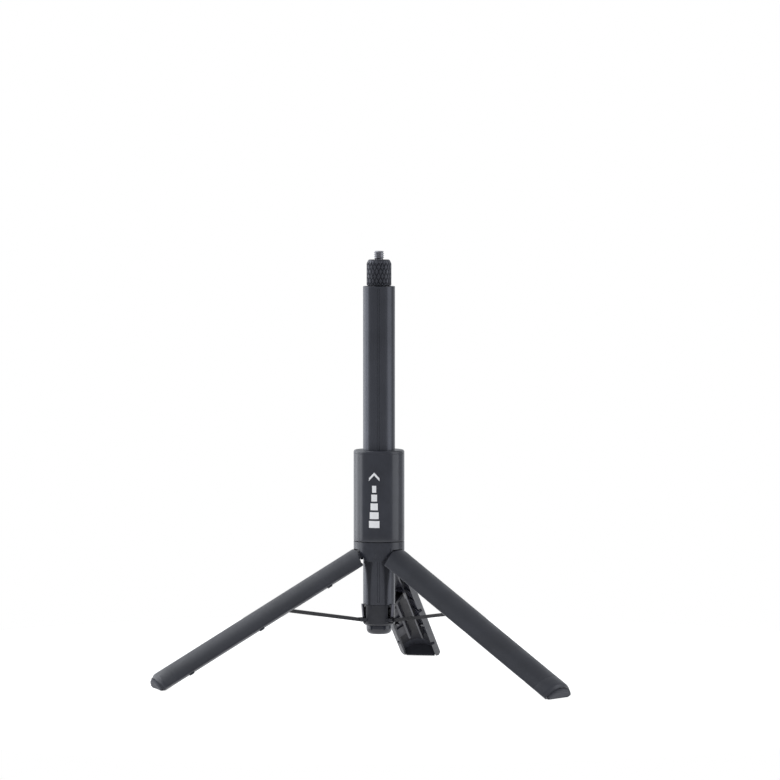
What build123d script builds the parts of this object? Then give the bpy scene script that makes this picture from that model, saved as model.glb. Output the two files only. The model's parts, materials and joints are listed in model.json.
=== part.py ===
"""Telescopic selfie stick whose handle opens into a three-legged stand.

Millimetres, +Z up. The origin is on the floor, on the pole's axis. The stand is
drawn open. Legs are modelled closed, along +Y, then swung open and turned to
their three stations: back (+Y), left and right.
"""
from build123d import *
import math
import os

# Driving dimensions: hinges and legs
HINGE_Z = 82.9
HINGE_R = 12.5
OPEN_ANGLE = 60.3
LEG_LENGTH = 157.2
LEG_R = 16.2
LEG_WALL = 1.5
LEG_SIDE_R = 12.3
LEG_SIDE_WALL = 1.6
LEG_GAP = 0.3
LEG_TOP = 3.3
CAP_LENGTH = 10.4
FOOT_WALL = 1.4
PAD_BULGE = 1.6
FLOOR_CLEARANCE = 0.25
EDGE_ROUND = 0.9
PLATE_THICK = 0.8
PLATE_END = 133.0
RIB_FIRST = 17.0
RIB_PITCH = 14.6
RIB_COUNT = 8
RIB_THICK = 0.9
SCREW_ALONG = (38.0, 111.0)
SCREW_ASIDE = 8.6
CATCHES = (31.3, 83.2, 136.3)
STATIONS = {"back": 0, "left": 120, "right": 240}

# Handle sleeve and hinge ring
SLEEVE_R = 16.2
SLEEVE_WALL = 2.0
SLEEVE_BOTTOM = 89.8
SLEEVE_TOP = 147.8
BEZEL_HEIGHT = 2.2
RING_BORE = 10.9
RING_LINER_R = 12.1
SPIGOT_BORE = 12.0
SPIGOT_RISE = 9.0
GUIDE_LENGTH = 12.0
BEZEL_ROUND = 1.4
TONGUE_BOTTOM = 77.2
TONGUE_TOP = 84.7
TONGUE_TOP_HALF = 45.0
TONGUE_BOTTOM_HALF = 16.0
PIN_R = 1.0
PIN_HALF = 8.3
KNUCKLE_R = 2.1
KNUCKLE_HALF = 5.9

# Pole: outer tube, five inner sections and head
TUBE_R = 10.2
TUBE_WALL = 0.7
TUBE_TOP = 252.0
TUBE_BOTTOM = 49.0
SECTION_COUNT = 5
SECTION_STEP = 1.2
SECTION_WALL = 0.55
SECTION_BOTTOM = 54.2
SECTION_TOP = 251.4
BUSH_HEIGHT = 7.0
RUNNING_FIT = 0.05
GROOVE_ANGLE = 8.5
GROOVE_WIDTH = 1.3
GROOVE_DEPTH = 0.3
HEAD_R = 7.9
HEAD_BOTTOM = 252.3
HEAD_TOP = 268.6
HEAD_BORE = 6.6
HEAD_SLOPE = 2.2
HEAD_TAPER = 1.0
SCREW_MAJOR_R = 3.175
SCREW_LENGTH = 5.8

# Spread linkage
HUB_BOTTOM = 36.0
HUB_PIVOT_Z = 39.5
HUB_PIVOT_R = 13.0
HUB_BORE = 8.4
HUB_SLOT_HALF = 2.65
EAR_THICK = 1.0
STRUT_THICK = 2.2
SHOE_PIN_R = 0.8
SHOE_HALF_LENGTH = 4.5
CLIP_HALF_WIDTH = 1.1
CLIP_THICK = 0.6
STRUT_HALF_WIDTH = 2.3
SHOE_ALONG = 69.1
TRACK_START = 62.0
TRACK_END = 136.0
CHANNEL_HALF = 3.6
CHANNEL_WALL = 1.3
END_CAP_R = 8.1
END_CAP_BOTTOM = 30.0
END_CAP_ROUND = 3.2
CAP_SCREW_R = 1.1
CAP_SCREW_HEAD_R = 2.1

FAR = 60.0
MIN_Z = (Align.CENTER, Align.CENTER, Align.MIN)


def rod(radius, z0, z1):
    """Upright cylinder from z0 to z1."""
    return Pos(0, 0, z0) * Cylinder(radius, z1 - z0, align=MIN_Z)


def pipe(outer, inner, z0, z1):
    """Upright tube from z0 to z1."""
    return rod(outer, z0, z1) - rod(inner, z0 - 1, z1 + 1)


def block(x0, x1, y0, y1, z0, z1):
    """Box between two corners."""
    centre = Pos((x0 + x1) / 2, (y0 + y1) / 2, (z0 + z1) / 2)
    return centre * Box(x1 - x0, y1 - y0, z1 - z0)


def cross_rod(radius, half_length, y, z):
    """Rod along X, centred on the leg's mid plane."""
    return Pos(0, y, z) * Rot(0, 90, 0) * Cylinder(radius, 2 * half_length)


def along(distance):
    """Height of a point of the closed leg, measured down from its hinge."""
    return HINGE_Z - distance


def wedge(gap):
    """Plan of one third of the handle, its two sides moved in by gap."""
    apex = gap / math.sin(math.radians(60))
    side = FAR * math.sin(math.radians(60))
    rise = apex + FAR * math.cos(math.radians(60))
    outline = [(0, apex), (side, rise), (side, 2 * FAR), (-side, 2 * FAR), (-side, rise)]
    return Polygon(*outline, align=None)


def leg_prism(plan, start, end):
    """Extrude a plan along the closed leg."""
    return Pos(0, 0, along(end)) * extrude(plan, end - start)


def swing_open(shape):
    """Turn a closed leg's piece about its hinge to the open stand."""
    hinge = Pos(0, HINGE_R, HINGE_Z)
    return hinge * Rot(OPEN_ANGLE, 0, 0) * Pos(0, -HINGE_R, -HINGE_Z) * shape


def at_stations(shape):
    """The same piece at all three stations, as one group."""
    turned = [Rot(0, 0, turn) * shape for turn in STATIONS.values()]
    return Compound(children=[solid for piece in turned for solid in piece.solids()])


def shoe_point():
    """Where the strut's outer pin stands in the open stand, as y and z."""
    lean = math.radians(OPEN_ANGLE)
    return HINGE_R + SHOE_ALONG * math.sin(lean), HINGE_Z - SHOE_ALONG * math.cos(lean)


# ---------------------------------------------------------------- handle


def make_handle_sleeve():
    body = pipe(SLEEVE_R, SLEEVE_R - SLEEVE_WALL, SLEEVE_BOTTOM, SLEEVE_TOP - BEZEL_HEIGHT)
    lower_rim = body.edges().filter_by(GeomType.CIRCLE).sort_by(Axis.Z)[:2].sort_by(SortBy.RADIUS)[-1]
    return chamfer(lower_rim, 0.3)


def make_sleeve_bezel():
    ring = pipe(SLEEVE_R, TUBE_R + 0.25, SLEEVE_TOP - BEZEL_HEIGHT, SLEEVE_TOP)
    top_rims = ring.edges().filter_by(GeomType.CIRCLE).group_by(Axis.Z)[-1].sort_by(SortBy.RADIUS)
    ring = fillet(top_rims[-1], BEZEL_ROUND)
    inner = ring.edges().filter_by(GeomType.CIRCLE).group_by(Axis.Z)[-1].sort_by(SortBy.RADIUS)[0]
    return chamfer(inner, 0.35)


def make_upper_guide_bush():
    top = SLEEVE_TOP - BEZEL_HEIGHT - 0.2
    bush = pipe(SLEEVE_R - SLEEVE_WALL, TUBE_R + RUNNING_FIT, top - GUIDE_LENGTH, top)
    key = block(-0.4, 0.4, -TUBE_R - 0.6, -TUBE_R + 0.2, top - GUIDE_LENGTH, top)
    return bush + Rot(0, 0, GROOVE_ANGLE) * key


def tongue_pocket():
    """Gap between two tongues, seen from outside, at the +Y station."""
    top_half = LEG_R * math.sin(math.radians(60 - TONGUE_TOP_HALF))
    bottom_half = LEG_R * math.sin(math.radians(60 - TONGUE_BOTTOM_HALF))
    low = TONGUE_BOTTOM
    slope = (bottom_half - top_half) / (TONGUE_TOP - low)
    wide = bottom_half + slope * 3
    outline = [(-top_half, TONGUE_TOP), (top_half, TONGUE_TOP), (wide, low - 3), (-wide, low - 3)]
    cut = extrude(Plane.XZ * Polygon(*outline, align=None), FAR, dir=(0, 1, 0))
    knuckle_room = block(-KNUCKLE_HALF - 0.4, KNUCKLE_HALF + 0.4, 5, 15.0, low - 3, HINGE_Z + 2.4)
    cut -= rod(RING_LINER_R, low - 4, TONGUE_TOP + 1)
    return cut + knuckle_room


def make_hinge_ring():
    ring = pipe(SLEEVE_R, RING_BORE, TONGUE_BOTTOM, SLEEVE_BOTTOM - 0.4)
    ring += pipe(SLEEVE_R - SLEEVE_WALL - 0.02, SPIGOT_BORE, SLEEVE_BOTTOM - 1, SLEEVE_BOTTOM + SPIGOT_RISE)
    for turn in STATIONS.values():
        ring -= Rot(0, 0, turn) * tongue_pocket()
        ring -= Rot(0, 0, turn) * cross_rod(PIN_R, PIN_HALF + 0.1, HINGE_R, HINGE_Z)
    for screw in make_ring_screws().solids():
        ring -= screw
    return ring


def make_lower_guide_bush():
    return pipe(SPIGOT_BORE - 0.02, TUBE_R + RUNNING_FIT, SLEEVE_BOTTOM - 0.35, SLEEVE_BOTTOM + SPIGOT_RISE)


def make_hinge_pins():
    return at_stations(cross_rod(PIN_R, PIN_HALF, HINGE_R, HINGE_Z))


def make_ring_screws():
    """Grub screws that hold the sleeve on the ring's spigot."""
    screw = Pos(0, 13.05, SLEEVE_BOTTOM + 5) * Rot(90, 0, 0) * Cylinder(1.0, 2.1)
    return at_stations(Rot(0, 0, 60) * screw)


# ---------------------------------------------------------------- one leg


def top_corner_cuts():
    """Slants at the leg's upper corners that clear the ring's tongues."""
    side = LEG_R * math.sin(math.radians(60))
    inner = LEG_R * math.sin(math.radians(60 - TONGUE_TOP_HALF))
    cuts = None
    for sign in (-1, 1):
        points = [
            (sign * inner, along(LEG_TOP - 1.0)),
            (sign * (side + 3), along(LEG_TOP + 5.2)),
            (sign * (side + 3), along(-4)),
            (sign * inner, along(-4)),
        ]
        corner = extrude(Plane.XZ * Polygon(*points, align=None), FAR, dir=(0, 1, 0))
        cuts = corner if cuts is None else cuts + corner
    return cuts


def make_leg_shell():
    inner_r = LEG_R - LEG_WALL
    plan = (Circle(LEG_R) - Circle(LEG_SIDE_R)) & wedge(LEG_GAP)
    plan -= Circle(inner_r) & wedge(LEG_GAP + LEG_SIDE_WALL)
    plan = fillet(plan.vertices().sort_by_distance((0, 0, 0))[-2:], EDGE_ROUND)
    shell = leg_prism(plan, LEG_TOP, LEG_LENGTH - CAP_LENGTH)
    shell -= top_corner_cuts()
    side_turn = Rot(0, 0, 60)
    for distance in CATCHES:
        z = along(distance)
        tab = side_turn * block(-0.45, 1.2, LEG_SIDE_R + 0.2, LEG_SIDE_R + 2.0, z - 1.6, z + 1.6)
        shell += tab
        notch = Rot(0, 0, -60) * block(-2.0, 1.1, LEG_SIDE_R - 1, LEG_SIDE_R + 2.5, z - 2.4, z + 2.4)
        shell -= notch
    return shell


def make_leg_frame():
    inner_r = LEG_R - LEG_WALL - 0.1
    room = wedge(LEG_GAP + LEG_SIDE_WALL + 0.12)
    plate_plan = (Circle(inner_r) - Circle(inner_r - PLATE_THICK)) & room
    plate = leg_prism(plate_plan, LEG_TOP + 5, PLATE_END)
    wall_out = CHANNEL_HALF + CHANNEL_WALL
    walls_plan = (Circle(inner_r) - Circle(10.75)) & Rectangle(2 * wall_out, 4 * FAR)
    walls_plan &= wedge(LEG_GAP)
    frame = plate + leg_prism(walls_plan, 9, TRACK_END)
    rib_plan = (Circle(inner_r) - Circle(LEG_SIDE_R + 0.5)) & room
    for index in range(RIB_COUNT):
        start = RIB_FIRST + index * RIB_PITCH
        frame += leg_prism(rib_plan, start, start + RIB_THICK)
    frame -= block(-CHANNEL_HALF, CHANNEL_HALF, 0, FAR, along(TRACK_END + 1), along(TRACK_START))
    pocket = block(-CHANNEL_HALF, CHANNEL_HALF, 0, inner_r - 2.2, along(TRACK_START - 3), along(14))
    frame -= pocket
    web = block(-KNUCKLE_HALF, KNUCKLE_HALF, HINGE_R - KNUCKLE_R, HINGE_R + 0.9, along(12), along(0))
    web += block(-KNUCKLE_HALF, KNUCKLE_HALF, HINGE_R, HINGE_R + 2.0, along(12), along(5))
    web &= rod(inner_r, along(12), along(0))
    frame += web + cross_rod(KNUCKLE_R, KNUCKLE_HALF, HINGE_R, HINGE_Z)
    frame -= cross_rod(PIN_R + RUNNING_FIT, 8, HINGE_R, HINGE_Z)
    frame -= rod(RING_BORE - 0.15, along(20), along(-4))
    for x, z in frame_screw_places():
        frame -= Pos(x, 0, z) * Rot(-90, 0, 0) * Cylinder(0.9, FAR, align=MIN_Z)
    return frame


def frame_screw_places():
    return [(x, along(distance)) for distance in SCREW_ALONG for x in (-SCREW_ASIDE, SCREW_ASIDE)]


def make_frame_screws():
    screws = None
    for x, z in frame_screw_places():
        floor_y = math.sqrt((LEG_R - LEG_WALL - 0.9) ** 2 - (abs(x) + 1.5) ** 2)
        head = Pos(x, floor_y - 1.0, z) * Rot(-90, 0, 0) * Cylinder(1.5, 0.95, align=MIN_Z)
        shank = Pos(x, floor_y - 0.3, z) * Rot(-90, 0, 0) * Cylinder(0.88, 1.0, align=MIN_Z)
        pair = head + shank
        screws = [pair] if screws is None else screws + [pair]
    return Compound(children=[solid for pair in screws for solid in pair.solids()])


def make_foot_cap():
    start = LEG_LENGTH - CAP_LENGTH + 0.15
    plan = (Circle(LEG_R) - Circle(LEG_SIDE_R)) & wedge(LEG_GAP)
    wall_plan = plan - (Circle(LEG_R - LEG_WALL) & wedge(LEG_GAP + LEG_SIDE_WALL))
    wall_plan = fillet(wall_plan.vertices().sort_by_distance((0, 0, 0))[-2:], EDGE_ROUND)
    cap = leg_prism(wall_plan, start, LEG_LENGTH)
    chord = LEG_SIDE_R * math.cos(math.radians(60))
    end_plan = Circle(LEG_R - 0.4) & wedge(LEG_GAP + 0.4)
    end_plan &= Pos(0, chord + FAR) * Rectangle(2 * FAR, 2 * FAR)
    cap += leg_prism(end_plan, LEG_LENGTH - FOOT_WALL, LEG_LENGTH)
    outer_end = [
        edge
        for edge in cap.edges().filter_by(GeomType.CIRCLE).group_by(Axis.Z)[0]
        if abs(edge.radius - LEG_R) < 0.01
    ]
    cap = swing_open(fillet(outer_end, 1.2))
    return cap - block(-FAR, FAR, 0, 4 * FAR, -FAR, FLOOR_CLEARANCE)


def make_foot_pad():
    chord = LEG_SIDE_R * math.cos(math.radians(60)) + 0.5
    plan = Circle(LEG_R - 1.7) & wedge(LEG_GAP + 1.5)
    plan &= Pos(0, chord + FAR) * Rectangle(2 * FAR, 2 * FAR)
    pad = leg_prism(plan, LEG_LENGTH, LEG_LENGTH + PAD_BULGE)
    rim = pad.faces().sort_by(Axis.Z)[0].edges()
    pad = swing_open(chamfer(rim, 0.7))
    return pad - block(-FAR, FAR, 0, 4 * FAR, -FAR, 0)


def shoe_block():
    z = along(SHOE_ALONG)
    half = CHANNEL_HALF - RUNNING_FIT
    body = block(-half, half, HINGE_R - 1.5, HINGE_R + 1.6, z - SHOE_HALF_LENGTH, z + SHOE_HALF_LENGTH)
    slot_half = STRUT_HALF_WIDTH + 0.1
    body -= block(-slot_half, slot_half, 0, HINGE_R + STRUT_THICK / 2 + 0.1, z - 6, z + 6)
    return body - cross_rod(SHOE_PIN_R, 8, HINGE_R, z)


def make_shoe_pin():
    return cross_rod(SHOE_PIN_R, CHANNEL_HALF - 0.1, HINGE_R, along(SHOE_ALONG))


def make_strut():
    """Flat bar from the shoe's pin down and in to the hub, drawn open at +Y."""
    shoe_y, shoe_z = shoe_point()
    run = shoe_y - HUB_PIVOT_R
    rise = shoe_z - HUB_PIVOT_Z
    slope = math.degrees(math.atan2(rise, run))
    eye = STRUT_THICK / 2
    half = STRUT_HALF_WIDTH
    middle = Pos(0, HUB_PIVOT_R + run / 2, HUB_PIVOT_Z + rise / 2)
    bar = middle * Rot(slope, 0, 0) * Box(2 * half, math.hypot(run, rise), STRUT_THICK)
    bar += cross_rod(eye, half, HUB_PIVOT_R, HUB_PIVOT_Z)
    bar += cross_rod(eye, half, shoe_y, shoe_z)
    return bar - cross_rod(SHOE_PIN_R + RUNNING_FIT, 8, shoe_y, shoe_z)


# ---------------------------------------------------------------- pole


def groove(length_bottom, length_top):
    cut = block(
        -GROOVE_WIDTH / 2, GROOVE_WIDTH / 2, -TUBE_R - 1, -TUBE_R + GROOVE_DEPTH, length_bottom, length_top
    )
    return Rot(0, 0, GROOVE_ANGLE) * cut


def make_outer_tube():
    tube = pipe(TUBE_R, TUBE_R - TUBE_WALL, TUBE_BOTTOM, TUBE_TOP)
    rim = tube.edges().filter_by(GeomType.CIRCLE).group_by(Axis.Z)[-1].sort_by(SortBy.RADIUS)[-1]
    tube = fillet(rim, 0.4)
    return tube - groove(TUBE_BOTTOM + 2, TUBE_TOP - 1.5)


def section_radius(index):
    """Outer radius of an inner section; 0 is the outer tube."""
    return TUBE_R - 0.1 - SECTION_STEP * index


def bore_radius(index):
    """Inner radius of a tube; 0 is the outer tube."""
    return TUBE_R - TUBE_WALL if index == 0 else section_radius(index) - SECTION_WALL


def make_section(index):
    outer = section_radius(index)
    top = SECTION_TOP - 0.3 * (index - 1)
    if index > 1:
        top = HEAD_BOTTOM - 0.3 - 0.15 * (SECTION_COUNT - index)
    if index == SECTION_COUNT:
        top = HEAD_BOTTOM + 8
    return pipe(outer, bore_radius(index), SECTION_BOTTOM, top)


def make_slide_bush(index):
    """Bush on a section's foot that runs in the tube around it."""
    outer = bore_radius(index - 1) - RUNNING_FIT
    return pipe(outer, section_radius(index), SECTION_BOTTOM, SECTION_BOTTOM + BUSH_HEIGHT)


def make_mouth_bush(index):
    """Bush in a tube's mouth that guides the section inside it."""
    top = TUBE_TOP - 0.3 if index == 0 else SECTION_TOP - 0.8
    return pipe(bore_radius(index), section_radius(index + 1) + RUNNING_FIT, top - BUSH_HEIGHT, top)


def make_strut_hub():
    """Moulded end of the pole, with a slot and a pair of pivot ears at each station."""
    hub = rod(TUBE_R - 0.05, HUB_BOTTOM, TUBE_BOTTOM)
    low_rim = hub.edges().filter_by(GeomType.CIRCLE).sort_by(Axis.Z)[0]
    hub = chamfer(low_rim, 0.8)
    hub -= rod(HUB_BORE, HUB_BOTTOM + 4, TUBE_BOTTOM + 1)
    slot = block(-HUB_SLOT_HALF, HUB_SLOT_HALF, 7.8, FAR, HUB_BOTTOM + 1.5, TUBE_BOTTOM + 1)
    ears = None
    for side in (-1, 1):
        middle = side * (HUB_SLOT_HALF + EAR_THICK / 2)
        tip = Pos(middle, HUB_PIVOT_R, HUB_PIVOT_Z) * Rot(0, 90, 0) * Cylinder(STRUT_THICK / 2, EAR_THICK)
        root = TUBE_R - 1.6
        arm = Pos(middle, (root + HUB_PIVOT_R) / 2, HUB_PIVOT_Z) * Box(EAR_THICK, HUB_PIVOT_R - root, STRUT_THICK)
        ear = tip + arm
        ears = ear if ears is None else ears + ear
    for turn in STATIONS.values():
        hub -= Rot(0, 0, turn) * slot
        hub += Rot(0, 0, turn) * ears
    hub += pipe(bore_radius(0) - 0.02, HUB_BORE - 0.1, TUBE_BOTTOM - 1.5, TUBE_BOTTOM + 4.5)
    return hub - rod(CAP_SCREW_R, HUB_BOTTOM - 1, HUB_BOTTOM + 6)


def make_hub_clips():
    """Spring strips that lean out of the hub's slots above the struts' inner ends."""
    low = HUB_PIVOT_Z + 1.5
    top = TUBE_BOTTOM + 0.5
    root, foot, tip = 8.7, 10.9, 11.7
    outline = [
        (root, low),
        (foot, low),
        (tip, top),
        (TUBE_R + 0.15, top),
        (TUBE_R + 0.15, top - CLIP_THICK),
        (tip - CLIP_THICK, top - CLIP_THICK),
        (foot - CLIP_THICK, low + CLIP_THICK),
        (root, low + CLIP_THICK),
    ]
    profile = Plane.YZ * Polygon(*outline, align=None)
    strip = extrude(profile, CLIP_HALF_WIDTH, both=True)
    return at_stations(strip)


def make_end_cap():
    cap = rod(END_CAP_R, END_CAP_BOTTOM, HUB_BOTTOM)
    low = cap.edges().filter_by(GeomType.CIRCLE).sort_by(Axis.Z)[0]
    cap = fillet(low, END_CAP_ROUND)
    cap -= rod(CAP_SCREW_HEAD_R + 0.1, END_CAP_BOTTOM - 1, END_CAP_BOTTOM + 1.8)
    return cap - rod(CAP_SCREW_R + 0.05, END_CAP_BOTTOM, HUB_BOTTOM + 1)


def make_end_cap_screw():
    screw = rod(CAP_SCREW_HEAD_R, END_CAP_BOTTOM + 0.3, END_CAP_BOTTOM + 1.8)
    screw += rod(CAP_SCREW_R, END_CAP_BOTTOM + 1.8, HUB_BOTTOM + 3.8)
    for turn in (0, 90):
        slot = block(-1.3, 1.3, -0.25, 0.25, END_CAP_BOTTOM, END_CAP_BOTTOM + 1.1)
        screw -= Rot(0, 0, turn) * slot
    return screw


def make_head_core():
    core = rod(HEAD_BORE, HEAD_BOTTOM, HEAD_TOP - 0.9)
    core -= rod(section_radius(SECTION_COUNT), HEAD_BOTTOM - 1, HEAD_BOTTOM + 8)
    return core - rod(SCREW_MAJOR_R - 0.4, HEAD_TOP - 6, HEAD_TOP + 1)


def make_knurled_ring():
    ring = rod(HEAD_R, HEAD_BOTTOM, HEAD_TOP - HEAD_SLOPE)
    low_rim = ring.edges().filter_by(GeomType.CIRCLE).sort_by(Axis.Z)[0]
    ring = chamfer(low_rim, 0.5)
    shoulder = Cone(HEAD_R, HEAD_R - HEAD_TAPER, HEAD_SLOPE, align=MIN_Z)
    ring += Pos(0, 0, HEAD_TOP - HEAD_SLOPE) * shoulder
    return ring - rod(HEAD_BORE, HEAD_BOTTOM - 1, HEAD_TOP + 1)


def make_head_pad():
    return pipe(HEAD_BORE - 0.1, SCREW_MAJOR_R + 0.3, HEAD_TOP - 0.9, HEAD_TOP + 0.25)


def make_camera_screw():
    core_r = SCREW_MAJOR_R - 0.4
    shank = rod(core_r, HEAD_TOP - 6, HEAD_TOP + 0.3)
    thread = rod(SCREW_MAJOR_R, HEAD_TOP + 0.3, HEAD_TOP + SCREW_LENGTH)
    tip = thread.edges().filter_by(GeomType.CIRCLE).sort_by(Axis.Z)[-1]
    return shank + chamfer(tip, 0.5)


# ---------------------------------------------------------------- write

nodes = {
    "handle_sleeve": make_handle_sleeve(),
    "sleeve_bezel": make_sleeve_bezel(),
    "upper_guide_bush": make_upper_guide_bush(),
    "lower_guide_bush": make_lower_guide_bush(),
    "hinge_ring": make_hinge_ring(),
    "hinge_pins": make_hinge_pins(),
    "ring_screws": make_ring_screws(),
    "outer_tube": make_outer_tube(),
    "strut_hub": make_strut_hub(),
    "hub_clips": make_hub_clips(),
    "end_cap": make_end_cap(),
    "end_cap_screw": make_end_cap_screw(),
    "head_core": make_head_core(),
    "knurled_ring": make_knurled_ring(),
    "head_pad": make_head_pad(),
    "camera_screw": make_camera_screw(),
}

leg_pieces = {
    "leg_shell": swing_open(make_leg_shell()),
    "leg_frame": swing_open(make_leg_frame()),
    "frame_screws": swing_open(make_frame_screws()),
    "foot_cap": make_foot_cap(),
    "foot_pad": make_foot_pad(),
    "strut_shoe": swing_open(shoe_block()),
    "shoe_pin": swing_open(make_shoe_pin()),
    "strut": make_strut(),
}
for station, turn in STATIONS.items():
    for name, shape in leg_pieces.items():
        nodes[f"{name}_{station}"] = Rot(0, 0, turn) * shape

nodes["mouth_bush_0"] = make_mouth_bush(0)
for number in range(1, SECTION_COUNT + 1):
    nodes[f"section_{number}"] = make_section(number)
    nodes[f"slide_bush_{number}"] = make_slide_bush(number)
    if number < SECTION_COUNT:
        nodes[f"mouth_bush_{number}"] = make_mouth_bush(number)

os.makedirs("parts", exist_ok=True)
for name, shape in nodes.items():
    export_step(shape, f"parts/{name}.step")
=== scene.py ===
"""Looks of the telescopic selfie stick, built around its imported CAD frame.

Metres, +Z up. A leg's piece is drawn on the closed leg at +Y, as x, y and the
distance down from the hinge, and is then swung open and turned to its station.
"""

import json
import math

import bpy
from mathutils import Matrix, Vector


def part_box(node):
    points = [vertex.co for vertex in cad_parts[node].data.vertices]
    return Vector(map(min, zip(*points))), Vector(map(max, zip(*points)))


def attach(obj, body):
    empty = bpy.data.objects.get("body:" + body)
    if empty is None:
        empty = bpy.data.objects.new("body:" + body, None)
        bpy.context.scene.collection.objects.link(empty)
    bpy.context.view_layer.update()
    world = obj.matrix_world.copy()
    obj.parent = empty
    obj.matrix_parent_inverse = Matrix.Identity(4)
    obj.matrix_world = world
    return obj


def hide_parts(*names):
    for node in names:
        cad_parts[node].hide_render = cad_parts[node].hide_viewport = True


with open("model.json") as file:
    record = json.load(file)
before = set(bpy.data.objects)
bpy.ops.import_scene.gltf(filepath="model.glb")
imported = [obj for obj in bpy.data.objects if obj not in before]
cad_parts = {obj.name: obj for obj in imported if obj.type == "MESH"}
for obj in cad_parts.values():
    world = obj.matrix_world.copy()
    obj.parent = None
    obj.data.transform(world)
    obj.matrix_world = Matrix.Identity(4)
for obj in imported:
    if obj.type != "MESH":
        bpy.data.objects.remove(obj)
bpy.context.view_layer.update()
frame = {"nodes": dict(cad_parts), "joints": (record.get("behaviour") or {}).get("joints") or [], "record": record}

NODES = frame["nodes"]
JOINTS = {joint["name"]: joint for joint in frame["joints"]}
RATIOS = {c["joint"]: c["ratio"] for c in frame["record"]["behaviour"]["couplings"]}
SLOTS = {part["node"]: part["material_slot"] for part in frame["record"]["subparts"]}
STATIONS = {"back": 0.0, "left": 120.0, "right": 240.0}
HALF_STATION = math.radians(60)

# The photograph's view of the open stand: angles in degrees, and the height that
# the square picture shows at the point aimed at
VIEW_AZIMUTH = 10.9
VIEW_ELEVATION = 3.1
VIEW_DISTANCE = 3.0
FRAME_HEIGHT = 0.4968
AIM_HEIGHT = 0.1858
AIM_RIGHT = 0.007

# Studio
COOL_WHITE = (0.93, 0.955, 1)
WORLD_STRENGTH = 0.5
LIGHT_AIM_HEIGHT = 0.13
FLOOR_R = 0.4
FLOOR_GREY = 0.4
FLOOR_GLOW = 0.94

# Handle and legs, as the CAD has them. Each leg fills a third of the circle about
# the pole, less LEG_GAP at each side, and its side walls reach in to LEG_SIDE_R
HINGE = Vector(JOINTS["leg_fold_back"]["pos_m"])
OPEN_ANGLE = RATIOS["leg_fold_back"] * JOINTS["pole_slide"]["range_m"][0]
HANDLE_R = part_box("handle_sleeve")[1].x
LEG_WALL = 0.0015
LEG_SIDE_R = 0.0123
LEG_SIDE_WALL = 0.0016
LEG_GAP = 0.0003
LEG_TOP = 0.0033
LEG_END = 0.1572
EDGE_ROUND = 0.0009

# Slants at a leg's upper corners: how far from the middle they start, their slope,
# and how far down the rows of points are level again
CORNER_START = 0.0042
CORNER_RISE = 0.001
CORNER_SLOPE = 0.483
CORNER_FADE = 0.008

# Foot cap and rubber pad. The cap's floor ends at a chord between the leg's lips
CAP_LENGTH = 0.0104
SHELL_END = LEG_END - CAP_LENGTH
CAP_SEAM = 0.00004
CAP_STEPS = 24
CHORD = LEG_SIDE_R * math.cos(HALF_STATION)
CHORD_SIDE = 0.0003
CORNER_SHARE = 0.6
CAP_FLOOR = (0.0021, 0.0008)
FLOOR_OVERLAP = 1.003
FOOT_ROUND = 0.0034
FOOT_ROUND_SHARE = 0.86
PAD_GAP = 0.0004
PAD_BULGE = 0.0016
FLOOR_CLEARANCE = 0.00025

# Catches on a leg's left side, and the notches in the right lip that take them
CATCHES = (0.0313, 0.0832, 0.1363)
CATCH_HALF = 0.00195
CATCH_MIDDLE_R = LEG_SIDE_R + 0.0011
CATCH_HALF_WIDTH = 0.0009
CATCH_ROOT = 0.0012
CATCH_PROUD = 0.00045
CATCH_TAPER = 0.00035
NOTCH_HALF = 0.0022
NOTCH_R = 0.0146

# Diamond grip on the legs
GRIP_HALF_TURN = math.radians(56.5)
GRIP_STEP = 0.0008
GRIP_DEPTH = 0.00013
GRIP_MARGIN = 0.0008
GRIP_TOP_MARGIN = 0.0015
GRIP_FADE = 0.002
GRIP_FADE_COLUMNS = 3

# Pole and head
GROOVE_ANGLE = math.radians(8.5)
GROOVE_WIDTH = 0.0013
GROOVE_DEPTH = 0.0003
KNURL_AROUND = 20
KNURL_ROW = 0.003
KNURL_DEPTH = 0.0006
KNURL_CUT_SHARE = 0.2
THREAD_PITCH = 0.00127
THREAD_DEPTH = 0.0006

# Sign printed on the sleeve
MARK_BARS = 5
MARK_RISE = 0.0092
MARK_HALF = 0.0034
MARK_NARROWING = 0.00052
BAR_PITCH = 0.0056
BAR_HEIGHT = 0.0044
ARROW_TIP = 0.0352
ARROW_THICK = 0.0018
ARROW_DROP = 0.0036
INK_PROUD = 0.00003
INK_STEPS = 6

# Points around a turned piece, and the slack for telling that two lengths are equal
ROUND_SEGMENTS = 160
SAME_PLACE = 1e-6


# ------------------------------------------------------------ mesh helpers


def link(obj):
    bpy.context.scene.collection.objects.link(obj)
    return obj


def mesh_object(name, points, faces, smooth=True, sharp_angle=35.0):
    """A mesh from points and faces, smooth except over edges sharper than the angle."""
    mesh = bpy.data.meshes.new(name)
    mesh.from_pydata([tuple(p) for p in points], [], faces)
    mesh.validate()
    if smooth:
        mesh.shade_smooth()
        mesh.set_sharp_from_angle(angle=math.radians(sharp_angle))
    else:
        mesh.shade_flat()
    return link(bpy.data.objects.new(name, mesh))


def finish_piece(obj, body, nodes, material):
    """Give a piece its material and let it stand for CAD nodes on their body."""
    obj.data.materials.append(material)
    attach(obj, body)
    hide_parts(*nodes)


def grid_faces(rows, columns, start=0, flip=False):
    """Quads of an open grid of points stored row after row."""
    faces = []
    for row in range(rows - 1):
        for column in range(columns - 1):
            a = start + row * columns + column
            quad = (a, a + 1, a + 1 + columns, a + columns)
            faces.append(quad[::-1] if flip else quad)
    return faces


def arc(centre, radius, first, last, steps):
    """Points of a profile's rounded corner, as radius and height."""
    turns = [math.radians(first + (last - first) * i / steps) for i in range(steps + 1)]
    return [(centre[0] + radius * math.cos(t), centre[1] + radius * math.sin(t)) for t in turns]


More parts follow.
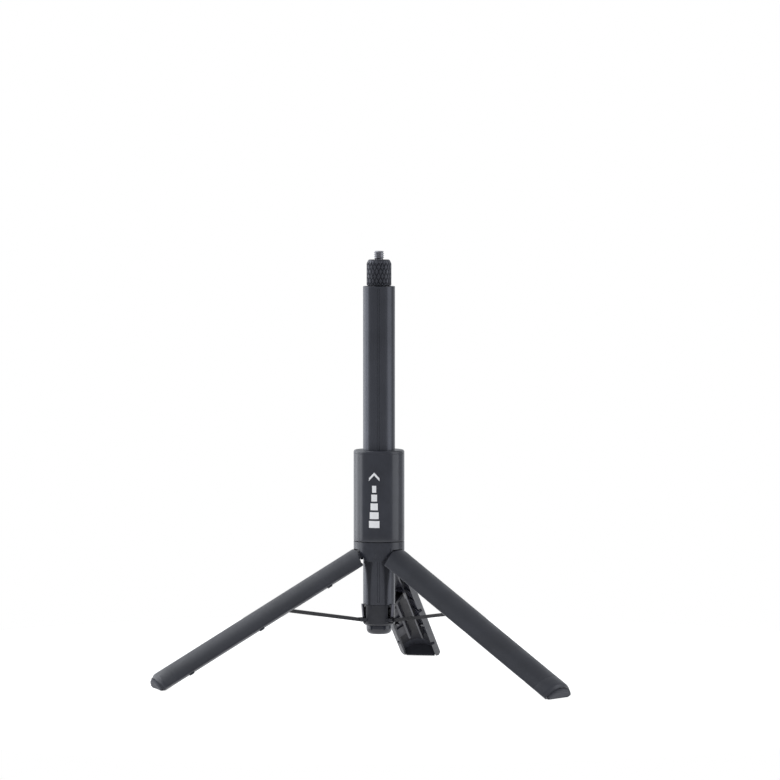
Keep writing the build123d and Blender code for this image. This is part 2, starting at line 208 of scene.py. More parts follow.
def stacked(bottom, top, count):
    """Evenly spaced values from bottom to top."""
    return [bottom + (top - bottom) * i / count for i in range(count + 1)]


def clamp(value):
    return min(1.0, max(0.0, value))


def lathe(name, profile, radius_change=None, segments=ROUND_SEGMENTS):
    """Turn a closed profile of radius and height about the pole's axis."""
    points = []
    for radius, height in profile:
        for step in range(segments):
            turn = 2 * math.pi * step / segments
            reach = radius + (radius_change(radius, height, turn) if radius_change else 0)
            points.append((reach * math.sin(turn), -reach * math.cos(turn), height))
    rings = list(range(len(profile))) + [0]
    faces = []
    for low, high in zip(rings, rings[1:]):
        for step in range(segments):
            after = (step + 1) % segments
            low_pair = (low * segments + step, low * segments + after)
            high_pair = (high * segments + after, high * segments + step)
            faces.append(low_pair + high_pair)
    return mesh_object(name, points, faces)


def on_leg(x, y, down, station):
    """World place of a point of the closed leg."""
    swing = Matrix.Rotation(OPEN_ANGLE, 4, "X")
    turn = Matrix.Rotation(math.radians(STATIONS[station]), 4, "Z")
    return turn @ (HINGE + swing @ Vector((x, y - HINGE.y, -down)))


# ------------------------------------------------------------ materials


def shade(colour, factor):
    return tuple(c * factor for c in colour)


class Nodes:
    """Short names for building one material's node tree."""

    def __init__(self, name):
        self.material = bpy.data.materials.new(name)
        self.material.use_nodes = True
        self.tree = self.material.node_tree
        self.shader = self.tree.nodes["Principled BSDF"]
        self.place = self.add("ShaderNodeTexCoord").outputs["Object"]

    def add(self, kind, **values):
        node = self.tree.nodes.new(kind)
        for key, value in values.items():
            setattr(node, key, value)
        return node

    def join(self, source, target):
        self.tree.links.new(source, target)

    def noise(self, scale, detail=4.0, roughness=0.6, stretch=(1, 1, 1)):
        mapping = self.add("ShaderNodeMapping")
        mapping.inputs["Scale"].default_value = stretch
        self.join(self.place, mapping.inputs["Vector"])
        noise = self.add("ShaderNodeTexNoise")
        noise.inputs["Scale"].default_value = scale
        noise.inputs["Detail"].default_value = detail
        noise.inputs["Roughness"].default_value = roughness
        self.join(mapping.outputs["Vector"], noise.inputs["Vector"])
        return noise.outputs["Fac"]

    def spread(self, value, low, high, source_low=0.3, source_high=0.7):
        """Map a value, most often a noise's middle range, to low and high."""
        node = self.add("ShaderNodeMapRange")
        node.inputs["From Min"].default_value = source_low
        node.inputs["From Max"].default_value = source_high
        node.inputs["To Min"].default_value = low
        node.inputs["To Max"].default_value = high
        self.join(value, node.inputs["Value"])
        return node.outputs["Result"]

    def blend(self, factor, first, second):
        """Mix of two colours, each a tuple or a socket."""
        node = self.add("ShaderNodeMix", data_type="RGBA")
        self.join(factor, node.inputs["Factor"])
        for socket, colour in (("A", first), ("B", second)):
            target = next(s for s in node.inputs if s.name == socket and s.type == "RGBA")
            if isinstance(colour, tuple):
                target.default_value = (*colour, 1)
            else:
                self.join(colour, target)
        return next(s for s in node.outputs if s.type == "RGBA")

    def edges(self, low, high):
        """1 along raised edges, 0 elsewhere."""
        pointiness = self.add("ShaderNodeNewGeometry").outputs["Pointiness"]
        return self.spread(pointiness, 0, 1, low, high)

    def bump(self, heights, rounding=0.0):
        """Stack bumps of (height, distance, strength) on a rounded-edge normal."""
        normal = None
        if rounding:
            bevel = self.add("ShaderNodeBevel", samples=4)
            bevel.inputs["Radius"].default_value = rounding
            normal = bevel.outputs["Normal"]
        for height, distance, strength in heights:
            bump = self.add("ShaderNodeBump")
            bump.inputs["Distance"].default_value = distance
            bump.inputs["Strength"].default_value = strength
            self.join(height, bump.inputs["Height"])
            if normal:
                self.join(normal, bump.inputs["Normal"])
            normal = bump.outputs["Normal"]
        self.join(normal, self.shader.inputs["Normal"])


# Radians that a wave texture runs through in one unit of its scaled place
WAVE_RADIANS = 20

# Moulded grain: its noise scales, and its depths
BODY_GRAIN = 2300
GRIP_GRAIN = 2900
BUSH_GRAIN = 1500
COARSE, FINE, FINEST = 0.00003, 0.00002, 0.00001


def plastic(name, colour, rough, specular, grain_depth, grain=BODY_GRAIN, rounding=0.0):
    """Moulded plastic: spark-eroded grain, handling marks and slightly worn edges."""
    nodes = Nodes(name)
    shader = nodes.shader
    shader.inputs["Specular IOR Level"].default_value = specular
    cloud = nodes.noise(45, 5)
    worn = tuple(min(1.0, c * 1.9 + 0.01) for c in colour)
    base = nodes.blend(nodes.spread(cloud, 0, 1), shade(colour, 0.82), shade(colour, 1.28))
    rub = nodes.spread(nodes.noise(260, 6, 0.7), 0, 0.35, 0.42, 0.72)
    worn_edge = nodes.add("ShaderNodeMath", operation="MULTIPLY")
    nodes.join(nodes.edges(0.51, 0.58), worn_edge.inputs[0])
    nodes.join(rub, worn_edge.inputs[1])
    nodes.join(nodes.blend(worn_edge.outputs[0], base, worn), shader.inputs["Base Color"])
    smear = nodes.noise(120, 5, 0.65, (1, 1, 0.35))
    nodes.join(nodes.spread(smear, rough - 0.06, rough + 0.07), shader.inputs["Roughness"])
    grains = nodes.noise(grain, 2, 0.5)
    ripple = nodes.noise(180, 2, 0.5)
    nodes.bump([(grains, grain_depth, 0.5), (ripple, 0.00005, 0.25)], rounding)
    return nodes.material


def anodised(name, colour, rough, metallic=0.6):
    """Dark anodised aluminium: drawn lines along it, faint clouding and rub marks."""
    nodes = Nodes(name)
    shader = nodes.shader
    shader.inputs["Metallic"].default_value = metallic
    shader.inputs["Specular IOR Level"].default_value = 0.45
    drawn = nodes.noise(900, 3, 0.6, (1, 1, 0.02))
    cloud = nodes.noise(30, 4)
    base = nodes.blend(nodes.spread(cloud, 0, 1), shade(colour, 0.85), shade(colour, 1.2))
    rub = nodes.spread(nodes.noise(340, 6, 0.75, (1, 1, 0.25)), 0, 0.5, 0.62, 0.8)
    nodes.join(nodes.blend(rub, base, shade(colour, 1.7)), shader.inputs["Base Color"])
    nodes.join(nodes.spread(drawn, rough - 0.05, rough + 0.08), shader.inputs["Roughness"])
    nodes.bump([(drawn, 0.00001, 0.35)])
    return nodes.material


def rubber(name, colour, rib=0.0, rounding=0.0):
    """Matt rubber with a dusty bloom, ribbed when rib is the ribs' spacing."""
    nodes = Nodes(name)
    shader = nodes.shader
    shader.inputs["Specular IOR Level"].default_value = 0.25
    dust = nodes.spread(nodes.noise(210, 6, 0.7), 0, 0.7, 0.4, 0.75)
    base = nodes.blend(dust, shade(colour, 0.85), shade(colour, 1.5))
    nodes.join(base, shader.inputs["Base Color"])
    nodes.join(nodes.spread(dust, 0.62, 0.85, 0, 1), shader.inputs["Roughness"])
    heights = [(nodes.noise(3000, 2), 0.00005, 0.6)]
    if rib:
        wave = nodes.add("ShaderNodeTexWave", bands_direction="Z")
        wave.inputs["Scale"].default_value = 2 * math.pi / (WAVE_RADIANS * rib)
        nodes.join(nodes.place, wave.inputs["Vector"])
        heights.append((wave.outputs["Fac"], 0.0002, 0.6))
    nodes.bump(heights, rounding)
    return nodes.material


def steel(name, colour, rough, stretch=(1, 1, 12), rounding=0.0):
    """Plated or brushed steel with fine scratches and duller patches."""
    nodes = Nodes(name)
    shader = nodes.shader
    shader.inputs["Metallic"].default_value = 1.0
    scratches = nodes.noise(1500, 4, 0.7, stretch)
    patches = nodes.noise(120, 4)
    base = nodes.blend(nodes.spread(patches, 0, 1), shade(colour, 0.75), shade(colour, 1.15))
    nodes.join(base, shader.inputs["Base Color"])
    nodes.join(nodes.spread(scratches, rough - 0.08, rough + 0.12), shader.inputs["Roughness"])
    nodes.bump([(scratches, 0.00001, 0.4)], rounding)
    return nodes.material


def coated_strip(name, colour, rounding):
    """Black coated spring strip: satin, with bare metal showing where it rubs."""
    nodes = Nodes(name)
    shader = nodes.shader
    shader.inputs["Specular IOR Level"].default_value = 0.5
    cloud = nodes.spread(nodes.noise(90, 5), 0, 1)
    base = nodes.blend(cloud, shade(colour, 0.75), shade(colour, 1.3))
    bare = nodes.spread(nodes.noise(700, 6, 0.75, (1, 1, 0.4)), 0, 0.35, 0.6, 0.78)
    nodes.join(nodes.blend(bare, base, (0.16, 0.16, 0.17)), shader.inputs["Base Color"])
    nodes.join(nodes.spread(cloud, 0.3, 0.42, 0, 1), shader.inputs["Roughness"])
    nodes.bump([(nodes.noise(1800, 3), 0.00002, 0.4)], rounding)
    return nodes.material


def printed_ink():
    """Pad-printed ink: off-white, with thin spots."""
    nodes = Nodes("printed_ink")
    shader = nodes.shader
    thin = nodes.spread(nodes.noise(2400, 5, 0.7), 0, 0.5, 0.6, 0.8)
    ink = nodes.blend(thin, (0.86, 0.86, 0.87), (0.5, 0.5, 0.52))
    nodes.join(ink, shader.inputs["Base Color"])
    nodes.join(nodes.spread(nodes.noise(800), 0.42, 0.55), shader.inputs["Roughness"])
    nodes.bump([(nodes.noise(3000, 2), 0.00002, 0.3)])
    return nodes.material


# Shader rounding of the CAD pieces' sharp edges
ROUNDED = 0.00025
EASED = 0.0001

SLEEVE_BLACK = (0.025, 0.0268, 0.0355)
RING_BLACK = (0.023, 0.0248, 0.033)
GRIP_BLACK = (0.024, 0.0257, 0.033)
# Leg frame: its own black plastic, drawn darker than the grip as painted shade for its recessed pockets
FRAME_BLACK_AND_SHADE = (0.021, 0.022, 0.031)
# Painted shade: the inside of a leg's shell is the grip's own plastic, drawn near-black to stand for the shade in
# the hollow
HOLLOW_SHADE_BLACK = (0.011, 0.0115, 0.016)
FOOT_BLACK = (0.025, 0.0267, 0.034)
HUB_BLACK = (0.0165, 0.0175, 0.023)
END_CAP_BLACK = (0.024, 0.0255, 0.034)
BUSH_GREY = (0.03, 0.03, 0.033)
SHOE_GREY = (0.05, 0.05, 0.055)

MATERIALS = {
    "sleeve_plastic": plastic("sleeve_satin", SLEEVE_BLACK, 0.2, 0.5, FINE),
    "bezel_plastic": plastic("bezel_satin", SLEEVE_BLACK, 0.22, 0.5, FINE),
    "ring_plastic": plastic("ring_satin", RING_BLACK, 0.25, 0.45, COARSE, rounding=ROUNDED),
    "leg_grip": plastic("leg_grip_plastic", GRIP_BLACK, 0.4, 0.42, COARSE, GRIP_GRAIN),
    # Leg frame: own black colour, partly darkened as painted shade of its pockets
    "leg_inside": plastic("leg_inside_plastic_and_shade", FRAME_BLACK_AND_SHADE, 0.36, 0.4, COARSE, rounding=ROUNDED),
    # Painted shade of the legs' hollows, not a plastic of its own
    "leg_hollow": plastic("leg_hollow_painted_shade", HOLLOW_SHADE_BLACK, 0.5, 0.3, COARSE),
    "foot_cap_plastic": plastic("foot_cap_satin", FOOT_BLACK, 0.38, 0.45, FINE),
    "foot_rubber": rubber("foot_rubber", (0.05, 0.052, 0.062), 0.0011),
    "anodised_tube": anodised("anodised_tube", (0.061, 0.0635, 0.075), 0.24),
    "inner_tubes": anodised("anodised_inner", (0.07, 0.074, 0.09), 0.24, 0.7),
    "hub_plastic": plastic("hub_satin", HUB_BLACK, 0.4, 0.4, COARSE, rounding=ROUNDED),
    "end_cap_plastic": plastic("end_cap_satin", END_CAP_BLACK, 0.16, 0.5, FINE),
    "strut_steel": coated_strip("strut_coated", (0.014, 0.014, 0.017), ROUNDED),
    "clip_steel": steel("clip_dark_steel", (0.085, 0.085, 0.1), 0.36, rounding=EASED),
    "pin_steel": steel("pin_bright_steel", (0.42, 0.42, 0.44), 0.3, (12, 1, 1)),
    "screw_steel": steel("screw_black_steel", (0.07, 0.07, 0.08), 0.4, rounding=EASED),
    "bush_plastic": plastic("bush_acetal", BUSH_GREY, 0.32, 0.5, FINEST, BUSH_GRAIN, EASED),
    "shoe_plastic": plastic("shoe_acetal", SHOE_GREY, 0.34, 0.5, FINEST, BUSH_GRAIN, ROUNDED),
    "head_metal": anodised("anodised_head", (0.055, 0.057, 0.068), 0.28, 0.5),
    "head_rubber": rubber("head_rubber", (0.02, 0.02, 0.022), rounding=EASED),
    "camera_screw_steel": steel("camera_screw_plated", (0.4, 0.4, 0.42), 0.24),
}


# ------------------------------------------------------------ handle and pole


def make_sleeve():
    low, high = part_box("handle_sleeve")
    wall, low_round, top_round = 0.002, 0.0003, 0.0001
    inner = HANDLE_R - wall
    profile = [(inner, high.z), (inner, low.z), (HANDLE_R - 0.0005, low.z)]
    profile += arc((HANDLE_R - low_round, low.z + low_round), low_round, -70, 0, 3)
    profile += [(HANDLE_R, z) for z in stacked(low.z + 0.004, high.z - 0.0003, 8)]
    profile += arc((HANDLE_R - top_round, high.z - top_round), top_round, 0, 90, 2)
    sleeve = lathe("sleeve", profile)
    finish_piece(sleeve, "handle", ["handle_sleeve"], MATERIALS["sleeve_plastic"])


def make_bezel():
    low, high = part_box("sleeve_bezel")
    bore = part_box("outer_tube")[1].x + 0.00025
    rim, lead, low_round = 0.0014, 0.0004, 0.0001
    profile = [(bore, low.z), (HANDLE_R - 0.00012, low.z)]
    profile += arc((HANDLE_R - low_round, low.z + 0.00015), low_round, -60, 0, 2)
    profile += arc((HANDLE_R - rim, high.z - rim), rim, 0, 90, 8)
    profile += [(bore + 0.0012, high.z)]
    profile += arc((bore + lead, high.z - lead), lead, 90, 180, 4)
    bezel = lathe("sleeve_bezel_ring", profile)
    finish_piece(bezel, "handle", ["sleeve_bezel"], MATERIALS["bezel_plastic"])


def make_outer_tube():
    low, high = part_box("outer_tube")
    radius, wall, lip, chamfer = high.x, 0.0007, 0.0004, 0.0002
    groove_low, groove_high = low.z + 0.002, high.z - 0.0015
    run_out = 0.0002
    heights = stacked(groove_low + run_out, groove_high - run_out, 20)
    profile = [(radius - wall, high.z - 0.0003), (radius - wall, low.z)]
    profile += [(radius - chamfer, low.z), (radius, low.z + chamfer), (radius, groove_low)]
    profile += [(radius, z) for z in heights]
    profile += [(radius, groove_high)]
    profile += arc((radius - lip, high.z - lip), lip, 0, 80, 4)
    profile += [(radius - wall + 0.0001, high.z)]

    def groove(reach, height, turn):
        in_run = heights[0] - SAME_PLACE <= height <= heights[-1] + SAME_PLACE
        if reach < radius - SAME_PLACE or not in_run:
            return 0
        off = abs((turn - GROOVE_ANGLE + math.pi) % (2 * math.pi) - math.pi) * radius
        return -GROOVE_DEPTH if off < GROOVE_WIDTH / 2 else 0

    tube = lathe("pole_tube", profile, groove, 360)
    finish_piece(tube, "pole", ["outer_tube"], MATERIALS["anodised_tube"])


def make_knurled_head():
    low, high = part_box("knurled_ring")
    radius, slope, taper, bore = high.x, 0.0022, 0.001, 0.0066
    plain, fade_in = 0.0003, 0.0006
    profile = [(bore, high.z - 0.0002), (bore, low.z)]
    profile += [(radius - 0.0006, low.z), (radius - 0.0002, low.z + 0.0003)]
    profile += [(radius, z) for z in stacked(low.z + 0.0006, high.z - slope, 62)]
    rise = stacked(0.08, 0.92, 8)
    profile += [(radius - taper * t, high.z - slope + slope * t) for t in rise]
    profile += [(radius - taper - 0.0001, high.z - 0.00005), (bore + 0.0001, high.z)]

    def knurl(reach, height, turn):
        if reach <= bore + 0.0003:
            return 0
        across = turn / (2 * math.pi) * KNURL_AROUND
        up = (height - low.z) / KNURL_ROW
        slanted = (across + up / 2, across - up / 2)
        nearest = min(abs((value + 0.5) % 1 - 0.5) for value in slanted)
        cut = max(0.0, 1 - nearest / KNURL_CUT_SHARE)
        top_fade = clamp((reach - radius + taper) / taper)
        low_fade = clamp((height - low.z - plain) / fade_in)
        return -KNURL_DEPTH * cut * min(top_fade, low_fade)

    ring = lathe("knurled_head", profile, knurl, KNURL_AROUND * 16)
    finish_piece(ring, "section_5", ["knurled_ring"], MATERIALS["head_metal"])


def make_camera_thread():
    low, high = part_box("camera_screw")
    radius, axis_gap, point_length = high.x, 0.0001, 0.0006
    core = radius - THREAD_DEPTH
    thread_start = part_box("head_pad")[1].z
    heights = stacked(thread_start, high.z - 0.0001, 60)
    profile = [(axis_gap, low.z), (core - 0.0001, low.z), (core, thread_start - 0.0001)]
    profile += [(radius, z) for z in heights]
    profile += [(core - 0.0004, high.z), (axis_gap, high.z)]

    def thread(reach, height, turn):
        if reach < radius - SAME_PLACE:
            return 0
        phase = (height / THREAD_PITCH - turn / (2 * math.pi)) % 1
        ridge = clamp(1.2 - 2.4 * abs(phase - 0.5))
        lead_in = min(1.0, (height - thread_start) / THREAD_PITCH)
        point = max(0.0, height - (high.z - point_length))
        return min(-THREAD_DEPTH * (1 - ridge * lead_in), -point)

    screw = lathe("camera_thread", profile, thread, 96)
    finish_piece(screw, "section_5", ["camera_screw"], MATERIALS["camera_screw_steel"])


def make_end_cap():
    low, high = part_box("end_cap")
    radius, turn_in, recess, hole, chamfer = high.x, 0.0032, 0.0022, 0.00115, 0.0002
    recess_top = low.z + 0.0018
    profile = [(hole, high.z), (hole, recess_top), (recess, recess_top)]
    profile += [(recess, low.z + chamfer), (recess + chamfer, low.z)]
    profile += [(radius - turn_in - 0.0005, low.z)]
    profile += arc((radius - turn_in, low.z + turn_in), turn_in, -90, 0, 12)
    profile += [(radius, high.z - 0.0003), (radius - chamfer, high.z)]
    cap = lathe("pole_end_cap", profile)
    finish_piece(cap, "pole", ["end_cap"], MATERIALS["end_cap_plastic"])


def make_printed_mark():
    """A plain sign for drawing out the pole: stepped bars under an arrow head."""
    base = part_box("handle_sleeve")[0].z + MARK_RISE
    shapes = []
    for index in range(MARK_BARS):
        half = MARK_HALF - MARK_NARROWING * index
        low = base + BAR_PITCH * index
        high = low + BAR_HEIGHT
        shapes.append([(-half, low), (half, low), (half, high), (-half, high)])
    tip = base + ARROW_TIP
    inner_tip = (0, tip - ARROW_THICK)
    end, inner_end = tip - ARROW_DROP, tip - ARROW_DROP - ARROW_THICK
    shapes.append([(-MARK_HALF, inner_end), inner_tip, (0, tip), (-MARK_HALF, end)])
    shapes.append([inner_tip, (MARK_HALF, inner_end), (MARK_HALF, end), (0, tip)])
    points, faces = [], []
    radius = HANDLE_R + INK_PROUD
    for low_left, low_right, high_right, high_left in shapes:
        first = len(points)
        for start, finish in ((low_left, low_right), (high_left, high_right)):
            for step in range(INK_STEPS + 1):
                part = step / INK_STEPS
                turn = (start[0] + (finish[0] - start[0]) * part) / HANDLE_R
                height = start[1] + (finish[1] - start[1]) * part
                points.append((radius * math.sin(turn), -radius * math.cos(turn), height))
        faces += grid_faces(2, INK_STEPS + 1, first)
    mark = mesh_object("printed_mark", points, faces)
    mark.data.materials.append(printed_ink())
    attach(mark, "handle")


# ------------------------------------------------------------ legs


def side_point(radius, inset):
    """Point of the leg's side wall at a radius, its plane moved in by inset."""
    turn = HALF_STATION - math.asin(inset / radius)
    return Vector((radius * math.sin(turn), radius * math.cos(turn)))


def bow(radius, turn, steps):
    """Points of an arc about the pole's axis, from the leg's middle to a turn."""
    turns = [turn * step / steps for step in range(steps + 1)]
    return [Vector((radius * math.sin(t), radius * math.cos(t))) for t in turns]


def half_section(outer_r, arc_steps, inner_r=HANDLE_R - LEG_WALL, wall=LEG_SIDE_WALL):
    """Right half of the leg's section, from its middle to its lip: outer and inner points."""
    lip_start, lip_bevel, wall_steps = 0.94, 0.12, 7
    corner = side_point(outer_r, LEG_GAP)
    side_end = side_point(LEG_SIDE_R, LEG_GAP)
    inner_corner = side_point(inner_r, LEG_GAP + wall)
    inner_end = side_point(LEG_SIDE_R, LEG_GAP + wall)
    along_side = (side_end - corner).normalized()
    round_turn = math.atan2(corner.x, corner.y) - EDGE_ROUND / outer_r
    outer = bow(outer_r, round_turn, arc_steps)
    start, finish = outer[-1], corner + along_side * EDGE_ROUND
    for part in (0.25, 0.5, 0.75, 1.0):
        before, at = (1 - part) ** 2, 2 * part * (1 - part)
        outer.append(before * start + at * corner + part**2 * finish)
    for part in (0.5, lip_start):
        outer.append(finish.lerp(side_end, part))
    outer.append(side_end + (inner_end - side_end) * lip_bevel)
    inner = bow(inner_r, math.atan2(inner_corner.x, inner_corner.y), arc_steps)
    for index in range(wall_steps):
        inner.append(inner_corner.lerp(inner_end, (index + 1) / wall_steps))
    return outer, inner


def whole(half):
    """Mirror a half section's points to the full width."""
    return [Vector((-p.x, p.y)) for p in reversed(half[1:])] + list(half)


def leg_row(halves, down, station):
    """A row of a loft: two half lines, mirrored and placed on the leg."""
    return tuple([on_leg(p.x, p.y, down, station) for p in whole(half)] for half in halves)


def strip_loft(rows):
    """Closed solid from rows of (outer points, inner points): points and quads."""
    width = len(rows[0][0])
    count = len(rows)
    points = [p for outer, _ in rows for p in outer] + [p for _, inner in rows for p in inner]
    back = count * width
    faces = grid_faces(count, width)
    faces += grid_faces(count, width, back, True)
    for row in range(count - 1):
        a, b = row * width, (row + 1) * width
        faces.append((a, b, back + b, back + a))
        faces.append((a + width - 1, back + a + width - 1, back + b + width - 1, b + width - 1))
    for i in range(width - 1):
        faces.append((i, back + i, back + i + 1, i + 1))
        top = (count - 1) * width + i
        faces.append((top, top + 1, back + top + 1, back + top))
    return points, faces


def top_edge(x):
    """Distance down from the hinge to the leg's upper end, slanted at its corners."""
    return max(LEG_TOP, LEG_TOP - CORNER_RISE + (abs(x) - CORNER_START) * CORNER_SLOPE)


def in_notch(point, down):
    """Whether a point lies where a catch's notch is cut in the leg's right lip."""
    near = any(abs(down - place) < NOTCH_HALF for place in CATCHES)
    return near and point.x > 0 and point.length < NOTCH_R


def tab_on_leg(place, station):
    """Small tapered catch that stands out of the leg's left side: points and faces."""
    out = Vector((-math.sin(HALF_STATION), math.cos(HALF_STATION)))
    aside = Vector((out.y, -out.x))
    points = []
    for reach, trim in ((CATCH_ROOT, 0.0), (-CATCH_PROUD, CATCH_TAPER)):
        half_width, half_length = CATCH_HALF_WIDTH - trim, CATCH_HALF - trim
        for across, along in ((-1, -1), (1, -1), (1, 1), (-1, 1)):
            spot = out * (CATCH_MIDDLE_R + across * half_width) + aside * reach
            points.append(on_leg(spot.x, spot.y, place + along * half_length, station))
    faces = [(3, 2, 1, 0), (4, 5, 6, 7)]
    faces += [(i, (i + 1) % 4, 4 + (i + 1) % 4, 4 + i) for i in range(4)]
    return points, faces


def grip_fade(x, down):
    """1 along the grip, falling to 0 at its upper and lower ends."""
    ends = min(down - top_edge(x) - GRIP_TOP_MARGIN, SHELL_END - GRIP_MARGIN - down)
    return clamp(ends / GRIP_FADE)


def make_leg_shell(station):
    arc_steps = round(HANDLE_R * GRIP_HALF_TURN / GRIP_STEP / 2) * 2
    outer, inner = (whole(half) for half in half_section(HANDLE_R, arc_steps))
    width = len(outer)
    middle = width // 2
    row_count = round((SHELL_END - LEG_TOP) / GRIP_STEP)
    rows = []
    for row in range(row_count + 1):
        even = LEG_TOP + (SHELL_END - LEG_TOP) * row / row_count
        level = clamp((even - LEG_TOP) / CORNER_FADE)
        place_row = ([], [])
        for side, line in enumerate((outer, inner)):
            for column, point in enumerate(line):
                start = top_edge(point.x)
                down = even if level >= 1 else start + (LEG_TOP + CORNER_FADE - start) * level
                reach = point * (NOTCH_R / point.length) if in_notch(point, down) else point
                off_middle = abs(column - middle)
                if side == 0 and off_middle < arc_steps:
                    side_fade = min(1.0, (arc_steps - off_middle) / GRIP_FADE_COLUMNS)
                    fade = grip_fade(point.x, down) * side_fade
                    low = (row + column) % 2
                    reach = point * (1 - GRIP_DEPTH * fade * low / HANDLE_R)
                if side == 0 and row == row_count:
                    reach = reach * (1 - CAP_SEAM / HANDLE_R)
                place_row[side].append(on_leg(reach.x, reach.y, down, station))
        rows.append(place_row)
    points, faces = strip_loft(rows)

    def starts_raised(face):
        row, column = divmod(face[0], width)
        in_grip = abs(column - middle) < arc_steps and row < row_count
        return in_grip and (row + column) % 2 == 0

    # A face that starts at a raised point is turned. All grip faces then split
    # between their low points, and each raised point is the peak of a diamond
    faces = [face[1:] + face[:1] if starts_raised(face) else face for face in faces]
    skin = row_count * (width - 1)
    for place in CATCHES:
        tab_points, tab_faces = tab_on_leg(place, station)
        faces += [tuple(i + len(points) for i in face) for face in tab_faces]
        points += tab_points
    shell = mesh_object(f"leg_grip_{station}", points, faces, sharp_angle=18)
    finish_piece(shell, f"leg_{station}", [f"leg_shell_{station}"], MATERIALS["leg_grip"])
    # The shell's inner faces take the near-black material, which is painted shade of the leg's hollow
    shell.data.materials.append(MATERIALS["leg_hollow"])
    for face in shell.data.polygons[skin : 2 * skin]:
        face.material_index = 1


def closed_below(line, chord):
    """Carry an inner wall on down to a chord: the wall's points, and one on the chord for each."""
    reach = line[-1].x
    corner = max(range(len(line)), key=lambda index: line[index].x)
    wall = line + [Vector((reach, chord + CHORD_SIDE))]
    edge = []
    for index, point in enumerate(wall):
        if index <= corner:
            across = point.x / line[corner].x * CORNER_SHARE
        else:
            past = (index - corner) / (len(line) - corner)
            across = CORNER_SHARE + (1 - CORNER_SHARE) * past
        edge.append(Vector((across * reach, chord)))
    return wall, edge


def make_foot_cap(station):
    start = SHELL_END + 0.00005
    downs = [start, start + 0.0002, start + 0.003]
    rounding = [1 - math.sin(math.radians(turn)) for turn in range(0, 91, 10)]
    downs += [LEG_END - FOOT_ROUND * share for share in rounding]
    rows = []
    for index, down in enumerate(downs):
        into = max(0.0, down - (LEG_END - FOOT_ROUND))
        drop = FOOT_ROUND - math.sqrt(max(0.0, FOOT_ROUND**2 - into**2))
        drop = min(drop, LEG_WALL * FOOT_ROUND_SHARE)
        outer, inner = half_section(HANDLE_R - (CAP_SEAM if index == 0 else 0), CAP_STEPS)
        low_end = outer[-1]
        rounded_from = LEG_SIDE_R + 0.0006
        outer = [p * (1 - drop / HANDLE_R) if p.length > rounded_from else p for p in outer]
        outer[-1] = low_end
        rows.append(leg_row((outer, inner), down, station))
    points, faces = strip_loft(rows)
    _, line = half_section(HANDLE_R, CAP_STEPS)
    wall, edge = closed_below(line, CHORD)
    wall = [p * FLOOR_OVERLAP for p in wall]
    floor_rows = [leg_row((wall, edge), LEG_END - above, station) for above in CAP_FLOOR]
    floor_points, floor_faces = strip_loft(floor_rows)
    faces += [tuple(i + len(points) for i in face) for face in floor_faces]
    points += floor_points
    points = [Vector((p.x, p.y, max(FLOOR_CLEARANCE, p.z))) for p in points]
    cap = mesh_object(f"foot_{station}", points, faces)
    finish_piece(cap, f"leg_{station}", [f"foot_cap_{station}"], MATERIALS["foot_cap_plastic"])


def make_foot_pad(station):
    inner_r = HANDLE_R - LEG_WALL - PAD_GAP
    _, line = half_section(HANDLE_R, CAP_STEPS, inner_r, LEG_SIDE_WALL + PAD_GAP)
    lines = closed_below(line, CHORD + PAD_GAP)
    centre = Vector((0, CHORD + PAD_GAP))
    # How far out of the cap each row stands, and its share of the full outline
    levels = [(-0.0008, 1.0), (0.0001, 1.0)]
    bulge = ((0.45, 0.99), (0.75, 0.965), (0.92, 0.925), (0.985, 0.87), (1.0, 0.8))
    levels += [(PAD_BULGE * share, scale) for share, scale in bulge]
    rows = []
    for out, scale in levels:
        halves = [[centre + (p - centre) * scale for p in half] for half in lines]
        rows.append(leg_row(halves, LEG_END + out, station))
    points, faces = strip_loft(rows)
    points = [Vector((p.x, p.y, max(0.0, p.z))) for p in points]
    pad = mesh_object(f"rubber_foot_{station}", points, faces, sharp_angle=50)
    finish_piece(pad, f"leg_{station}", [f"foot_pad_{station}"], MATERIALS["foot_rubber"])


# ------------------------------------------------------------ studio


def make_camera():
    azimuth, elevation = math.radians(VIEW_AZIMUTH), math.radians(VIEW_ELEVATION)
    level = math.cos(elevation)
    back = Vector((math.sin(azimuth) * level, -math.cos(azimuth) * level, math.sin(elevation)))
    right = Vector((math.cos(azimuth), math.sin(azimuth), 0))
    aim = Vector((0, 0, AIM_HEIGHT)) + right * AIM_RIGHT
    data = bpy.data.cameras.new("camera")
    data.lens = data.sensor_width * VIEW_DISTANCE / FRAME_HEIGHT
    data.clip_start = 0.05
    data.clip_end = 50
    camera = link(bpy.data.objects.new("camera", data))
    camera.location = aim + back * VIEW_DISTANCE
    camera.rotation_euler = (-back).to_track_quat("-Z", "Y").to_euler()
    bpy.context.scene.camera = camera


def softbox(name, azimuth, height, distance, size, power):
    """Area light at an azimuth measured from the camera's side, to its right."""
    turn = math.radians(VIEW_AZIMUTH + azimuth)
    place = Vector((math.sin(turn) * distance, -math.cos(turn) * distance, height))
    target = Vector((0, 0, LIGHT_AIM_HEIGHT))
    data = bpy.data.lights.new(name, "AREA")
    data.shape = "RECTANGLE"
    data.size, data.size_y = size
    data.energy = power
    data.color = COOL_WHITE
    light = link(bpy.data.objects.new(name, data))
    light.location = place
    light.rotation_euler = (target - place).to_track_quat("-Z", "Y").to_euler()


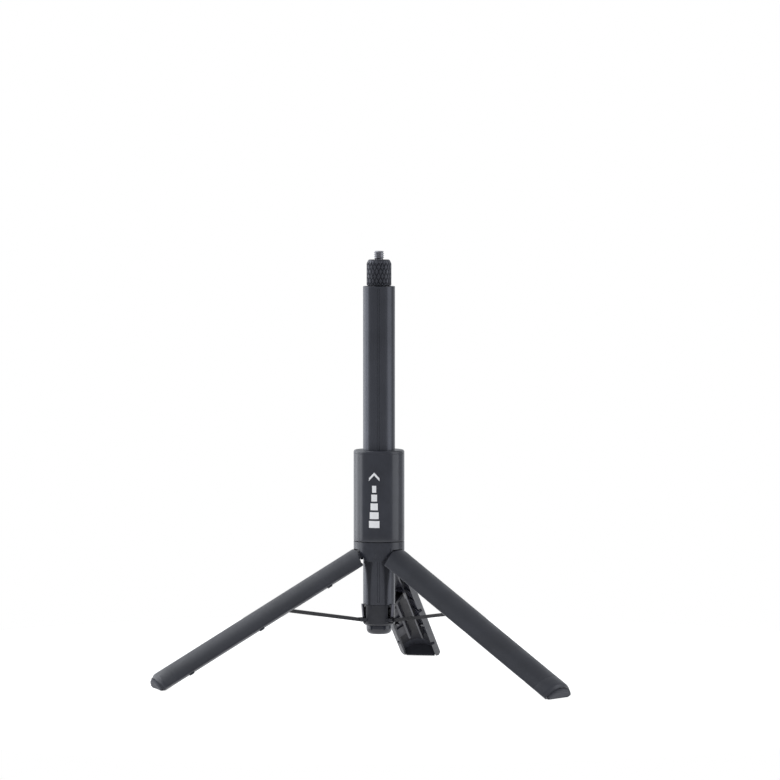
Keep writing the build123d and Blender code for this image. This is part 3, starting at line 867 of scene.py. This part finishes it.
def make_world():
    """White to the camera, and a dimmer cool white to the piece."""
    world = bpy.data.worlds.new("studio")
    bpy.context.scene.world = world
    world.use_nodes = True
    tree = world.node_tree
    dim = tree.nodes["Background"]
    dim.inputs["Color"].default_value = (*COOL_WHITE, 1)
    dim.inputs["Strength"].default_value = WORLD_STRENGTH
    white = tree.nodes.new("ShaderNodeBackground")
    white.inputs["Color"].default_value = (1, 1, 1, 1)
    path = tree.nodes.new("ShaderNodeLightPath")
    mix = tree.nodes.new("ShaderNodeMixShader")
    tree.links.new(path.outputs["Is Camera Ray"], mix.inputs["Fac"])
    tree.links.new(dim.outputs["Background"], mix.inputs[1])
    tree.links.new(white.outputs["Background"], mix.inputs[2])
    tree.links.new(mix.outputs["Shader"], tree.nodes["World Output"].inputs["Surface"])
    bpy.context.scene.view_settings.view_transform = "Standard"


def make_lights():
    softbox("left_key", -92, 0.5, 1.3, (0.5, 1.5), 4.6)
    softbox("left_back", -120, 0.5, 1.3, (0.8, 1.5), 7.2)
    softbox("left_rim", -153, 0.5, 1.5, (0.8, 1.5), 2.5)
    softbox("right_key", 82, 0.5, 1.3, (0.95, 1.5), 5.6)
    softbox("right_rim", 150, 0.5, 1.6, (1.1, 1.5), 1.6)
    softbox("top_back", 170, 1.6, 0.5, (1.2, 1.0), 0.8)
    softbox("top_front", -20, 1.5, 0.7, (1.2, 0.8), 1.2)
    softbox("top_left", -110, 1.3, 0.9, (1.2, 1.0), 4.4)


def make_floor():
    rim = []
    for step in range(ROUND_SEGMENTS):
        turn = 2 * math.pi * step / ROUND_SEGMENTS
        rim.append((FLOOR_R * math.cos(turn), FLOOR_R * math.sin(turn), 0))
    floor = mesh_object("floor", rim, [tuple(range(ROUND_SEGMENTS))], smooth=False)
    material = bpy.data.materials.new("pale_floor")
    material.use_nodes = True
    shader = material.node_tree.nodes["Principled BSDF"]
    shader.inputs["Base Color"].default_value = (FLOOR_GREY, FLOOR_GREY, FLOOR_GREY, 1)
    shader.inputs["Roughness"].default_value = 0.9
    shader.inputs["Specular IOR Level"].default_value = 0.1
    shader.inputs["Emission Color"].default_value = (1, 1, 1, 1)
    shader.inputs["Emission Strength"].default_value = FLOOR_GLOW
    floor.data.materials.append(material)


def dress_cad():
    """Give every CAD node that still shows its own procedural material."""
    for name, node in NODES.items():
        if node.hide_render:
            continue
        node.data.materials.clear()
        node.data.materials.append(MATERIALS[SLOTS[name]])


make_sleeve()
make_bezel()
make_outer_tube()
make_knurled_head()
make_camera_thread()
make_end_cap()
make_printed_mark()
for station in STATIONS:
    make_leg_shell(station)
    make_foot_cap(station)
    make_foot_pad(station)
dress_cad()
make_camera()
make_world()
make_lights()
make_floor()
